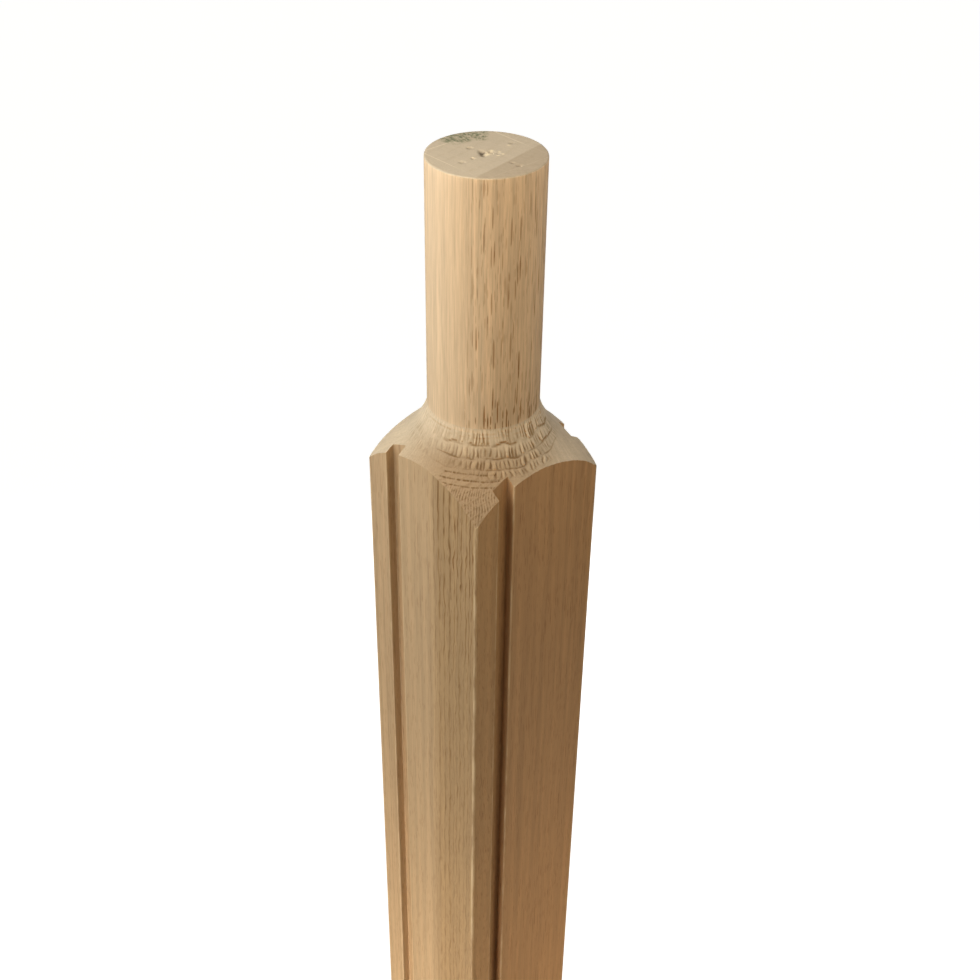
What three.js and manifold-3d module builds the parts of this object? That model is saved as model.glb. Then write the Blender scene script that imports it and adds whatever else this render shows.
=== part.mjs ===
// Oak newel post for a stair: a square post, glued up from boards, whose upper end is turned to a
// round pin. An ogee shoulder, a cove and then a dome, leads from the pin to the square and cuts each
// face in an arch. Each face has one groove near its left edge, from the shoulder to the foot.
// Millimetres, +Z up, origin in the middle of the foot.
import * as THREE from 'three';
import { mergeVertices } from 'three/addons/utils/BufferGeometryUtils.js';
import Module from 'manifold-3d';

const wasm = await Module();
wasm.setup();

// The square post
const POST_SIDE = 76.2;
const POST_HEIGHT = 1219.2;

// The pin at the top
const PIN_RADIUS = 25.75;
const PIN_LENGTH = 117.3;
const PIN_CHAMFER = 0.6;

// The shoulder, as two arcs that meet smoothly; a steepness is the angle below level
const COVE_RADIUS = 39.5;
const COVE_TOP_STEEPNESS = THREE.MathUtils.degToRad(75);
const WAIST_STEEPNESS = THREE.MathUtils.degToRad(34);
const DOME_RADIUS = 43;
const DOME_REACH = 55.5;

// The groove in each face
const GROOVE_FROM_CORNER = 13.5;
const GROOVE_WIDTH = 9.1;
const GROOVE_DEPTH = 4.6;

// How finely the round shapes are divided
const AROUND = 96;
const COVE_STEPS = 8;
const DOME_STEPS = 8;

const halfSide = POST_SIDE / 2;

const oak = new THREE.MeshStandardMaterial({ color: '#c3a077', roughness: 0.72, metalness: 0 });

// The turned outline from the axis at the foot round to the axis at the pin's end, as radius and height.
function turnedOutline() {
  const shoulderTop = POST_HEIGHT - PIN_LENGTH;
  const along = (from, to, steps, i) => from + (to - from) * (i / steps);

  const cove = [];
  for (let i = 0; i <= COVE_STEPS; i += 1) {
    const a = along(COVE_TOP_STEEPNESS, WAIST_STEEPNESS, COVE_STEPS, i);
    const radius = PIN_RADIUS + COVE_RADIUS * (Math.sin(COVE_TOP_STEEPNESS) - Math.sin(a));
    const height = shoulderTop - COVE_RADIUS * (Math.cos(a) - Math.cos(COVE_TOP_STEEPNESS));
    cove.push(new THREE.Vector2(radius, height));
  }

  const waist = cove[COVE_STEPS];
  const domeEnd = Math.asin(Math.sin(WAIST_STEEPNESS) + (DOME_REACH - waist.x) / DOME_RADIUS);
  const dome = [];
  for (let i = 1; i <= DOME_STEPS; i += 1) {
    const a = along(WAIST_STEEPNESS, domeEnd, DOME_STEPS, i);
    const radius = waist.x + DOME_RADIUS * (Math.sin(a) - Math.sin(WAIST_STEEPNESS));
    const height = waist.y - DOME_RADIUS * (Math.cos(WAIST_STEEPNESS) - Math.cos(a));
    dome.push(new THREE.Vector2(radius, height));
  }

  return [
    new THREE.Vector2(0, -1),
    new THREE.Vector2(DOME_REACH, -1),
    ...dome.reverse(),
    ...cove.reverse(),
    new THREE.Vector2(PIN_RADIUS, POST_HEIGHT - PIN_CHAMFER),
    new THREE.Vector2(PIN_RADIUS - PIN_CHAMFER, POST_HEIGHT),
    new THREE.Vector2(0, POST_HEIGHT),
  ];
}

// The post's square section with its four grooves, each one near the left edge of its face.
function groovedSquare() {
  const lipNear = -halfSide + GROOVE_FROM_CORNER;
  const lipFar = lipNear + GROOVE_WIDTH;
  const floor = -halfSide + GROOVE_DEPTH;
  const oneSide = [
    [-halfSide, -halfSide],
    [lipNear, -halfSide],
    [lipNear, floor],
    [lipFar, floor],
    [lipFar, -halfSide],
  ];
  const outline = [];
  for (let side = 0; side < 4; side += 1) {
    for (const [x, y] of oneSide) {
      outline.push(new THREE.Vector2(x, y).rotateAround(new THREE.Vector2(), (side * Math.PI) / 2));
    }
  }
  return new THREE.Shape(outline);
}

// A closed three.js geometry as a solid that can be cut.
function toSolid(geometry) {
  const bare = geometry.clone();
  bare.deleteAttribute('normal');
  bare.deleteAttribute('uv');
  const merged = mergeVertices(bare, 1e-4);
  const mesh = new wasm.Mesh({
    numProp: 3,
    vertProperties: new Float32Array(merged.attributes.position.array),
    triVerts: new Uint32Array(merged.index.array),
  });
  return new wasm.Manifold(mesh);
}

// A cut solid back as a flat-shaded three.js geometry.
function toGeometry(solid) {
  const { vertProperties, triVerts } = solid.getMesh();
  const indexed = new THREE.BufferGeometry();
  indexed.setAttribute('position', new THREE.BufferAttribute(new Float32Array(vertProperties), 3));
  indexed.setIndex(new THREE.BufferAttribute(new Uint32Array(triVerts), 1));
  const geometry = indexed.toNonIndexed();
  geometry.computeVertexNormals();
  return geometry;
}

// The part of the square post that the turning leaves.
function newelPost() {
  const square = new THREE.ExtrudeGeometry(groovedSquare(), {
    depth: POST_HEIGHT + 1,
    bevelEnabled: false,
  });
  const turned = new THREE.LatheGeometry(turnedOutline(), AROUND);
  turned.rotateX(Math.PI / 2);
  const solid = toSolid(square).intersect(toSolid(turned));
  const post = new THREE.Mesh(toGeometry(solid), oak);
  post.name = 'newel_post';
  return post;
}

const newel = new THREE.Group();
newel.add(newelPost());

export default newel;
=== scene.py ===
# %% [markdown]
# # An oak newel post, turned from a glued-up square
#
# A newel is the post that a stair's handrail ends at. This one is bare oak: four boards glued round a
# core like the blades of a pinwheel, planed square, grooved beside each joint, and then turned in a
# lathe at its upper end, which leaves a round pin and a shoulder of end grain.
#
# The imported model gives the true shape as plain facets. This script builds the same post again as one
# fine mesh, adds what the tools left on it, and gives it a wood that runs through the solid, so that
# the grain of a face, the pin and the shoulder belongs to the same boards.

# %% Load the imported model
import math

import bpy
import numpy as np
from mathutils import Matrix, Vector, noise
from mathutils.geometry import delaunay_2d_cdt


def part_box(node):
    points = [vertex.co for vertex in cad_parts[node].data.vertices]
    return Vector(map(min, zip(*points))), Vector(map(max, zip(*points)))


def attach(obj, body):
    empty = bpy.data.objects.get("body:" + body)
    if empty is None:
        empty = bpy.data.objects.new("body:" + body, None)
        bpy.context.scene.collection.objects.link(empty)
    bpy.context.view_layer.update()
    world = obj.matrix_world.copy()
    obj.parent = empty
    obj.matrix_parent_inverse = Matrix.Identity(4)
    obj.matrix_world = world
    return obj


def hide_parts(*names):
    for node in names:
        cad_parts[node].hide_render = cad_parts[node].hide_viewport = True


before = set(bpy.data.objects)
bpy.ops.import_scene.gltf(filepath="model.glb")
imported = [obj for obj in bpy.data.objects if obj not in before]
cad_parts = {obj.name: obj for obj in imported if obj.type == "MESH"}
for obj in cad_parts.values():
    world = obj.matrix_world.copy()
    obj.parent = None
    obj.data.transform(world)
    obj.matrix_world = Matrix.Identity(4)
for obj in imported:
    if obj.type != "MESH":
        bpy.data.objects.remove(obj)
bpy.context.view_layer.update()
MM = 0.001

foot_corner, top_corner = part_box("newel_post")
SIDE = (top_corner.x - foot_corner.x) / MM
HEIGHT = top_corner.z / MM
print(f"The post is {SIDE:.1f} mm square and {HEIGHT:.1f} mm tall")

# %% [markdown]
# ## The camera
#
# The photographer stood at a corner of the post and looked down on its upper end. The camera comes
# first, because everything after it is judged through it. It looks at a point near the post's axis
# from a distance, an azimuth and an elevation, and is rolled a little, as a hand-held camera is.

# %% Camera
PIN_LENGTH = 117.3
SHOULDER_TOP = HEIGHT - PIN_LENGTH
AIM = Vector((2.5, 2.7, HEIGHT - 168.0)) * MM
DISTANCE = 683.3 * MM
AZIMUTH = math.radians(47.27)
ELEVATION = math.radians(35.0)
ROLL = math.radians(0.93)
FOCAL_LENGTH = 52.67
SENSOR_WIDTH = 36.0

towards_camera = Vector((
    math.sin(AZIMUTH) * math.cos(ELEVATION),
    -math.cos(AZIMUTH) * math.cos(ELEVATION),
    math.sin(ELEVATION),
))
camera_data = bpy.data.cameras.new("camera")
camera_data.lens = FOCAL_LENGTH
camera_data.sensor_width = SENSOR_WIDTH
camera_data.clip_start = 10 * MM
camera = bpy.data.objects.new("camera", camera_data)
camera_turn = towards_camera.to_track_quat("Z", "Y").to_matrix().to_4x4() @ Matrix.Rotation(ROLL, 4, "Z")
camera.matrix_world = Matrix.Translation(AIM + DISTANCE * towards_camera) @ camera_turn
bpy.context.scene.collection.objects.link(camera)
bpy.context.scene.camera = camera
print("The camera stands at", [round(v, 3) for v in camera.matrix_world.translation])

# %% [markdown]
# ## The turned outline
#
# A lathe makes a surface of revolution, so one outline, a height for each radius, says all about it.
# Here a cove leaves the pin steeply and flattens, and a dome takes over and steepens again. Both are
# arcs, and they meet at the waist with the same slope. Along an arc the sine of the slope changes
# evenly with the radius, which gives both the height and the slope in closed form.

# %% Turned outline
PIN_RADIUS = 25.75
COVE_RADIUS = 39.5
DOME_RADIUS = 43.0
COVE_STEEPNESS = math.radians(75)
WAIST_STEEPNESS = math.radians(34)

WAIST = PIN_RADIUS + COVE_RADIUS * (math.sin(COVE_STEEPNESS) - math.sin(WAIST_STEEPNESS))
WAIST_HEIGHT = SHOULDER_TOP - COVE_RADIUS * (math.cos(WAIST_STEEPNESS) - math.cos(COVE_STEEPNESS))


def shoulder_steepness(radius):
    """The angle below level of the turned shoulder, for radii in mm."""
    cove = math.sin(COVE_STEEPNESS) - (radius - PIN_RADIUS) / COVE_RADIUS
    dome = math.sin(WAIST_STEEPNESS) + (radius - WAIST) / DOME_RADIUS
    return np.arcsin(np.where(radius < WAIST, cove, dome))


def shoulder_height(radius):
    """The height in mm of the turned shoulder, for radii in mm."""
    slope = np.cos(shoulder_steepness(radius))
    cove = SHOULDER_TOP - COVE_RADIUS * (slope - math.cos(COVE_STEEPNESS))
    dome = WAIST_HEIGHT - DOME_RADIUS * (math.cos(WAIST_STEEPNESS) - slope)
    return np.where(radius < WAIST, cove, dome)


corner_height = float(shoulder_height(SIDE / math.sqrt(2)))
print(f"The shoulder falls from {SHOULDER_TOP:.1f} to {corner_height:.1f} mm at the corners")

# %% [markdown]
# ## The grooved square
#
# Seen from above, the body is a square with one groove in each side, and each side is the last one
# turned by a quarter. A plane and a cutter leave edges that are a little eased, and an eased edge is
# what catches the light on a real arris, so every corner of this outline is a small arc. The outline
# is also cut into short steps, because the torn edge of the shoulder needs points to follow.

# %% Rounded corners and divided sides
ARC_STEPS = 4


def rounded(points, rounds):
    """A closed outline with each corner replaced by an arc."""
    result = []
    for i, (corner, radius) in enumerate(zip(points, rounds)):
        before = (points[i - 1] - corner).normalized()
        after = (points[(i + 1) % len(points)] - corner).normalized()
        centre = corner + radius * (before + after)
        for step in range(ARC_STEPS + 1):
            angle = step / ARC_STEPS * math.pi / 2
            result.append(centre - radius * (after * math.cos(angle) + before * math.sin(angle)))
    return result


def stepped(points, step):
    """The same outline with its long sides divided."""
    result = []
    for start, end in zip(points, points[1:] + points[:1]):
        parts = max(1, round((end - start).length / step))
        result += [start.lerp(end, i / parts) for i in range(parts)]
    return result


print(f"A rounded corner takes {ARC_STEPS + 1} points")

# %% Grooved square
HALF = SIDE / 2
GROOVE_FROM_CORNER = 13.5
GROOVE_WIDTH = 9.1
GROOVE_DEPTH = 4.6
CORNER_ROUND = 0.9
LIP_ROUND = 0.35
OUTLINE_STEP = 0.62

lip_near = -HALF + GROOVE_FROM_CORNER
lip_far = lip_near + GROOVE_WIDTH
groove_floor = -HALF + GROOVE_DEPTH
one_side = [
    (-HALF, -HALF, CORNER_ROUND),
    (lip_near, -HALF, LIP_ROUND),
    (lip_near, groove_floor, LIP_ROUND),
    (lip_far, groove_floor, LIP_ROUND),
    (lip_far, -HALF, LIP_ROUND),
]
corners = []
rounds = []
for quarter in range(4):
    spin = Matrix.Rotation(quarter * math.pi / 2, 2)
    for x, y, corner_round in one_side:
        corners.append(spin @ Vector((x, y)))
        rounds.append(corner_round)
outline = np.array(stepped(rounded(corners, rounds), OUTLINE_STEP))
print(f"The section has {len(outline)} points")

# %% [markdown]
# ## The shoulder
#
# The shoulder could be cut from a lathe shape with a boolean, but that leaves long thin faces along
# the cut. Instead it is meshed flat, in plan, between the pin's circle and the grooved outline, and
# then lifted to the turned height. The inner points sit on rings, so that the marks of the turning,
# which are rings too, fall along the mesh. They lie closer together at the front, where the grain is
# torn most. Delaunay triangulation joins them up and keeps both edges.

# %% Points and triangles in plan
INSIDE_LOOPS = 1
MERGE_DISTANCE = 1e-5


def on_ring(radius, step, phase=0.0):
    """Points round a ring, in mm."""
    count = round(2 * math.pi * radius / step)
    angles = (np.arange(count) + phase) * 2 * math.pi / count
    return np.stack([radius * np.cos(angles), radius * np.sin(angles)], axis=1)


def by_quarters(points):
    """The x and y of the points, with each of the post's four sides in turn at the front."""
    for quarter in range(4):
        spin = np.array(Matrix.Rotation(-quarter * math.pi / 2, 2))
        yield (points @ spin.T).T


def triangulated(points, loops):
    """Triangles over points in the plane, which keep the loops as edges. A loop is a list of indices."""
    edges = []
    for loop in loops:
        edges += zip(loop, loop[1:] + loop[:1])
    flat_points = [Vector(p) for p in points]
    result = delaunay_2d_cdt(flat_points, edges, [], INSIDE_LOOPS, MERGE_DISTANCE)
    verts, faces, sources = result[0], result[2], result[3]
    if len(verts) != len(points):
        raise ValueError("the triangulation merged or added points")
    return [[sources[v][0] for v in face] for face in faces]


print(f"A ring of 10 mm radius has {len(on_ring(10, 1))} points at steps of 1 mm")

# %% Shoulder in plan
RING_STEP = 0.5
FRONT_STEP = 0.29
FRONT_FROM = -106
FRONT_TO = 34
EDGE_GAP = 0.3
PIN_STEPS = 264

pin_circle = on_ring(PIN_RADIUS, 2 * math.pi * PIN_RADIUS / PIN_STEPS)
plan_blocks = [outline, pin_circle]
for step, front_wanted in ((RING_STEP, False), (FRONT_STEP, True)):
    for i, radius in enumerate(np.arange(PIN_RADIUS + step, HALF * math.sqrt(2), step)):
        ring = on_ring(radius, step, phase=0.5 * (i % 2))
        keep = np.abs(ring).max(axis=1) < HALF - EDGE_GAP
        for x, y in by_quarters(ring):
            in_groove = (x > lip_near - EDGE_GAP) & (x < lip_far + EDGE_GAP) & (y < groove_floor + EDGE_GAP)
            keep &= ~in_groove
        azimuth = np.degrees(np.arctan2(ring[:, 1], ring[:, 0]))
        in_front = (azimuth > FRONT_FROM) & (azimuth < FRONT_TO)
        plan_blocks.append(ring[keep & (in_front == front_wanted)])
plan = np.concatenate(plan_blocks)
outline_loop = list(range(len(outline)))
circle_loop = list(range(len(outline), len(outline) + PIN_STEPS))
plan_faces = triangulated(plan, [outline_loop, circle_loop])
plan_faces = [face for face in plan_faces if not set(face) <= set(circle_loop)]
print(f"The shoulder has {len(plan_faces)} triangles")

# %% [markdown]
# ## The disc at the pin's end
#
# The pin was held between centres while it turned. The drive centre bit into its end and left a torn
# pit with pale chips round it, and the saw left small dents. An image could paint these on, but the
# pit is deep enough to see into, so they are dents in the mesh: each is a named place with a radius
# and a depth, and the disc's points crowd together near the middle to carry them.

# %% Places on the disc
TORN_CENTRE = (-0.2, 0.4)
TORN_REACH = 5.0
TORN_DEPTH = 0.55
DENTS = {
    # name: x, y, reach and depth, all in mm
    "drive pit": (-2.6, -0.2, 1.4, 2.6),
    "pit's far left": (-4.2, 0.3, 0.9, 0.8),
    "torn, near side": (0.6, -2.2, 1.3, 1.2),
    "torn, between": (-1.1, -1.8, 1.1, 1.0),
    "torn, far side": (-0.1, 2.4, 1.0, 1.1),
    "under the round chip": (3.1, 3.9, 0.9, 0.45),
    "dent towards the left": (-9.2, -1.2, 1.1, 1.1),
    "dent near the front": (0.2, -13.5, 1.1, 0.9),
    "dent in front of the pit": (0.4, -7.6, 0.8, 0.8),
    "dent behind the pit": (-1.9, 15.7, 1.0, 0.9),
    "dent on the right": (14.1, 1.5, 0.8, 0.8),
    "dark pore": (17.9, 1.6, 0.9, 1.2),
}
CHIPS = {
    # name: x, y, reach in mm and how pale
    "bright chip in the torn place": (0.8, 0.2, 1.5, 1.0),
    "chip beside the pit": (-1.2, 1.1, 0.8, 0.7),
    "chip on the far side": (-1.1, 3.9, 1.1, 0.8),
    "round chip, near": (4.4, 2.5, 0.9, 0.8),
    "round chip, right": (4.6, 5.0, 0.9, 0.8),
    "round chip, far": (1.9, 5.5, 0.9, 0.8),
    "fleck in front": (-0.7, -7.0, 0.6, 0.8),
    "fleck behind": (-0.9, 13.3, 1.0, 0.7),
}
print(f"{len(DENTS)} dents and {len(CHIPS)} chips")

# %% Disc in plan
PIN_CHAMFER = 0.6
DISC_RADIUS = PIN_RADIUS - PIN_CHAMFER
FINE_STEP = 0.32
FINE_REACH = 7
COARSENING = 0.06
ROW_TO_STEP = 0.87
RIM_GAP = 0.5
MIDDLE_GAP = 0.3

disc_blocks = [on_ring(DISC_RADIUS, 2 * math.pi * DISC_RADIUS / PIN_STEPS)]
radius = DISC_RADIUS - RIM_GAP
while radius > MIDDLE_GAP:
    step = FINE_STEP if radius < FINE_REACH else FINE_STEP + COARSENING * (radius - FINE_REACH)
    disc_blocks.append(on_ring(radius, step, phase=0.5 * (len(disc_blocks) % 2)))
    radius -= step * ROW_TO_STEP
disc_blocks.append(np.zeros((1, 2)))
disc = np.concatenate(disc_blocks)
disc_faces = triangulated(disc, [list(range(PIN_STEPS))])
print(f"The disc has {len(disc_faces)} triangles")

# %% Depth of the disc's marks
DENT_FALL = 1.6
CHIP_FALL = 2.0
CLEAN_RIM = 0.4


def bumps(x, y, per_mm, layer):
    """Soft random values round zero, this many to the millimetre."""
    return noise.noise(Vector((x * per_mm, y * per_mm, layer)))


disc_depth = np.zeros(len(disc))
for x, y, reach, depth in DENTS.values():
    away = np.hypot(disc[:, 0] - x, disc[:, 1] - y) / reach
    disc_depth += depth * np.exp(-away ** 2 * DENT_FALL)
for i, (x, y) in enumerate(disc):
    away = math.hypot(x - TORN_CENTRE[0], y - TORN_CENTRE[1]) / TORN_REACH
    if away < 1:
        ragged = abs(bumps(x, y, 0.9, 3.0)) + bumps(x, y, 2.1, 7.0)
        disc_depth[i] += (1 - away) * TORN_DEPTH * ragged
disc_bare = np.zeros(len(disc))
for x, y, reach, paleness in CHIPS.values():
    chip = paleness * np.exp(-(np.hypot(disc[:, 0] - x, disc[:, 1] - y) / reach) ** 2 * CHIP_FALL)
    disc_bare = np.maximum(disc_bare, chip)
    disc_depth *= 1 - chip
disc_depth[np.hypot(*disc.T) > DISC_RADIUS - CLEAN_RIM] = 0.0
disc_depth = np.maximum(disc_depth, 0.0)
print(f"The drive pit is {disc_depth.max():.2f} mm deep")

# %% [markdown]
# ## The post as one mesh
#
# The pieces share their edges, so the post is closed without any merging. The walls hang below the
# outline in columns, and their rows crowd together near the shoulder. Fibres break out where the tool
# leaves the wood, so the shoulder's edge is chipped a little, and always downwards, which keeps the
# walls flat and the post inside its true size.

# %% Points and rows
blocks = []
faces = list(plan_faces)


def add_points(block):
    """Adds points to the post and gives their numbers."""
    start = sum(len(earlier) for earlier in blocks)
    blocks.append(block)
    return list(range(start, start + len(block)))


def add_rows(row, new_blocks):
    """Closed rows of points below or above a first row, joined to it by four-sided faces."""
    for block in new_blocks:
        new_row = add_points(block)
        for i in range(len(row)):
            j = (i + 1) % len(row)
            faces.append([row[i], row[j], new_row[j], new_row[i]])
        row = new_row
    return row


print(f"The post starts with the shoulder's {len(faces)} triangles")

# %% Walls and foot
WALL_ROWS = 42
WALL_CROWDING = 4.2
CHIP_DEPTH = 0.55
CHIP_FROM = 0.12

plan_z = shoulder_height(np.hypot(*plan.T))
for i, (x, y) in enumerate(outline):
    chip = bumps(x, y, 0.9, 11.0) + 0.5 * bumps(x, y, 2.3, 5.0)
    plan_z[i] -= CHIP_DEPTH * max(0.0, chip - CHIP_FROM)
add_points(np.column_stack([plan, plan_z]))

fall = np.expm1(WALL_CROWDING * np.arange(1, WALL_ROWS + 1) / WALL_ROWS) / math.expm1(WALL_CROWDING)
walls = [np.column_stack([outline, plan_z[:len(outline)] * (1 - share)])[::-1] for share in fall]
foot_loop = add_rows(outline_loop[::-1], walls)[::-1]
foot_faces = triangulated(outline, [outline_loop])
faces += [[foot_loop[v] for v in face[::-1]] for face in foot_faces]
print(f"The walls have {WALL_ROWS} rows of {len(outline)} faces")

# %% Pin and disc
PIN_ROWS = 36
RIM_STEPS = 3

pin_top = HEIGHT - PIN_CHAMFER
pin_rows = []
for i in range(1, PIN_ROWS + 1):
    level = SHOULDER_TOP + (pin_top - SHOULDER_TOP) * i / PIN_ROWS
    pin_rows.append(np.column_stack([pin_circle, np.full(PIN_STEPS, level)]))
for step in range(1, RIM_STEPS):
    angle = step / RIM_STEPS * math.pi / 2
    rim = pin_circle * (DISC_RADIUS + PIN_CHAMFER * math.cos(angle)) / PIN_RADIUS
    pin_rows.append(np.column_stack([rim, np.full(PIN_STEPS, pin_top + PIN_CHAMFER * math.sin(angle))]))
disc_points = np.column_stack([disc, HEIGHT - disc_depth])
pin_rows.append(disc_points[:PIN_STEPS])
disc_index = add_rows(circle_loop, pin_rows) + add_points(disc_points[PIN_STEPS:])
faces += [[disc_index[v] for v in face] for face in disc_faces]
print(f"The pin has {len(pin_rows)} rows up to the disc's edge")

# %% [markdown]
# ### What each point remembers
#
# A mesh can carry numbers of its own for each point, as attributes, and the materials and the tree
# below read them by name. The disc's points keep how deep their dent is and how bare their chip.

# %% Make the mesh
SHARP_FROM = math.radians(32)

points = np.concatenate(blocks)
mesh = bpy.data.meshes.new("newel post")
mesh.from_pydata((points * MM).tolist(), [], faces)
mesh.shade_smooth()
mesh.set_sharp_from_angle(angle=SHARP_FROM)


def remember(name, values, index):
    """Keeps a value for each of the mesh's points with these numbers, and zero for the others."""
    kept = np.zeros(len(points))
    kept[index] = values
    mesh.attributes.new(name, "FLOAT", "POINT").data.foreach_set("value", kept)
    return kept


remember("dent", disc_depth, disc_index)
remember("bare", disc_bare, disc_index)
post = bpy.data.objects.new("newel_post_oak", mesh)
bpy.context.scene.collection.objects.link(post)
print(f"The post has {len(points)} points and {sum(len(f) - 2 for f in faces)} triangles")

# %% [markdown]
# ## Nodes, colours and millimetres
#
# Both kinds of node tree below are long chains of the same few nodes. One helper adds a node, sets it
# up and links what goes into it. A kind is the node's type, or a pair with the settings that are used
# again and again. Inputs go by name, or as a list in the order in which the node shows them: a range
# takes its value, the two ends that it comes from and the two that it goes to, a noise takes its place,
# scale and detail, and a mix takes the share of the second before both. Colours are written as the sRGB
# hex values that a paint program shows, and one function turns them to the renderer's linear light.

# %% Kinds of node
MATH = "ShaderNodeMath"
VECTOR = "ShaderNodeVectorMath"
RANGE = "ShaderNodeMapRange"
NOISE = "ShaderNodeTexNoise"
VORONOI = "ShaderNodeTexVoronoi"
SPLIT = "ShaderNodeSeparateXYZ"
JOIN = "ShaderNodeCombineXYZ"
MIX = "ShaderNodeMix"
PLUS = (MATH, {"operation": "ADD"})
MINUS = (MATH, {"operation": "SUBTRACT"})
TIMES = (MATH, {"operation": "MULTIPLY"})
TIMES_PLUS = (MATH, {"operation": "MULTIPLY_ADD"})
SQUEEZE = (VECTOR, {"operation": "MULTIPLY"})
SHIFT = (VECTOR, {"operation": "ADD"})
SCALE = (VECTOR, {"operation": "SCALE"})
SMOOTH = (RANGE, {"interpolation_type": "SMOOTHSTEP"})
BLEND = (MIX, {"data_type": "FLOAT"})
PAINT = (MIX, {"data_type": "RGBA"})
TINT = (MIX, {"data_type": "RGBA", "blend_type": "MULTIPLY"})
print("A tint is a", TINT[0], "with", TINT[1])

# %% Helpers for nodes and colours


def add(tree, kind, inputs=(), **settings):
    """A node of this kind. An input is a value, an output socket, or a node whose first output counts."""
    if isinstance(kind, tuple):
        kind, settings = kind
    node = tree.nodes.new(kind)
    for name, value in settings.items():
        setattr(node, name, value)
    shown = [socket for socket in node.inputs if socket.enabled]
    if isinstance(inputs, dict):
        shown = [next(s for s in shown if s.name == name) for name in inputs]
        inputs = inputs.values()
    for socket, value in zip(shown, inputs):
        if isinstance(value, bpy.types.Node):
            value = next(s for s in value.outputs if s.enabled)
        if isinstance(value, bpy.types.NodeSocket):
            tree.links.new(value, socket)
        else:
            socket.default_value = value
    return node


def linear(hex_colour):
    """A hex colour as linear red, green, blue and alpha."""
    channels = [int(hex_colour[i:i + 2], 16) / 255 for i in (1, 3, 5)]
    return [c / 12.92 if c <= 0.04045 else ((c + 0.055) / 1.055) ** 2.4 for c in channels] + [1.0]


print("Mid oak in linear light:", [round(c, 3) for c in linear("#c3a077")])

# %% [markdown]
# ## Torn grain
#
# On the shoulder the cutter meets the fibres end on. Where it lifts them, they break out in rows of
# small steps that follow the turning, like scales, and the cutter itself leaves fine rings. A sculpted
# surface would do for one post, but the marks follow a rule, so Geometry Nodes make them. The tree
# reads each point's radius and its way round the axis, and moves the point along its normal.
#
# Two more numbers are remembered for it and for the wood. One fades out at the pin and at the walls,
# and keeps both edges of the shoulder where they are. The other marks the eased corners, where the
# outline turns outwards.

# %% Mask for the shoulder and the eased corners
MASK_FADE = 0.8
FADE_AT_PIN = 1.6
TURNS_OUT = 1e-4

distance_in = HALF - np.abs(plan).max(axis=1)
for x, y in by_quarters(plan):
    beside = np.maximum(np.maximum(lip_near - x, x - lip_far), y - groove_floor)
    distance_in = np.minimum(distance_in, beside)
from_pin = np.hypot(*plan.T) - PIN_RADIUS
fade = np.clip(np.minimum(distance_in, from_pin * FADE_AT_PIN) / MASK_FADE, 0, 1)
mask = remember("shoulder", fade, slice(len(plan)))

step_before = outline - np.roll(outline, 1, axis=0)
step_after = np.roll(outline, -1, axis=0) - outline
turning = step_before[:, 0] * step_after[:, 1] - step_before[:, 1] * step_after[:, 0]
on_corner = turning > TURNS_OUT
wall_points = slice(len(plan), len(plan) + WALL_ROWS * len(outline))
wall_index = np.r_[:len(outline), wall_points]
arris = remember("arris", np.r_[on_corner, np.tile(on_corner[::-1], WALL_ROWS)], wall_index)
print(f"{int((mask > 0).sum())} points can move, and {int(arris.sum())} lie on an arris")

# %% [markdown]
# ### The tree and its sizes
#
# Each size that a maker might change is a named input of the tree, in millimetres or radians. Inside,
# a point's place becomes a radius, an angle round the axis, and a length of arc.

# %% Tree and inputs
torn = bpy.data.node_groups.new("torn grain", "GeometryNodeTree")
torn.interface.new_socket("Geometry", in_out="INPUT", socket_type="NodeSocketGeometry")
torn_inputs = {}
for name, kind, value in (
    ("Ring Pitch", "NodeSocketFloat", 0.8),
    ("Ring Depth", "NodeSocketFloat", 0.03),
    ("Row Pitch", "NodeSocketFloat", 3.05),
    ("Tear Width", "NodeSocketFloat", 2.0),
    ("Tear Depth", "NodeSocketFloat", 0.4),
    ("Tear Azimuth", "NodeSocketFloat", math.radians(-12)),
    ("Seed", "NodeSocketFloat", 4.0),
    ("Material", "NodeSocketMaterial", None),
):
    socket = torn.interface.new_socket(name, in_out="INPUT", socket_type=kind)
    torn_inputs[name] = (socket.identifier, value)
torn.interface.new_socket("Geometry", in_out="OUTPUT", socket_type="NodeSocketGeometry")
given = torn.nodes.new("NodeGroupInput").outputs
print("Inputs of the tree:", ", ".join(torn_inputs))

# %% Radius, angle and arc
ARC_RADIUS = 31.0

position = add(torn, "GeometryNodeInputPosition")
place = add(torn, SCALE, [position, 1 / MM])
axes = add(torn, SPLIT, [place]).outputs
from_axis = add(torn, SQUEEZE, [place, (1, 1, 0)])
from_axis = add(torn, VECTOR, [from_axis], operation="LENGTH").outputs["Value"]
around = add(torn, MATH, [axes["Y"], axes["X"]], operation="ARCTAN2")
arc = add(torn, TIMES, [around, ARC_RADIUS])
print(f"Arcs are measured at a radius of {ARC_RADIUS} mm")

# %% [markdown]
# ### Rows of scales
#
# The rows are rings round the pin, a row pitch apart, that wander a little, because the grain that
# they follow does. A row's share runs from 0 at its inner edge to 1 at its outer edge. Each row is a
# string of lifted scales, about one tear width across, and the gaps between them open outwards.

# %% Rows
ROW_WANDER = 0.6
WANDER_PER_MM = 0.14

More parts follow.
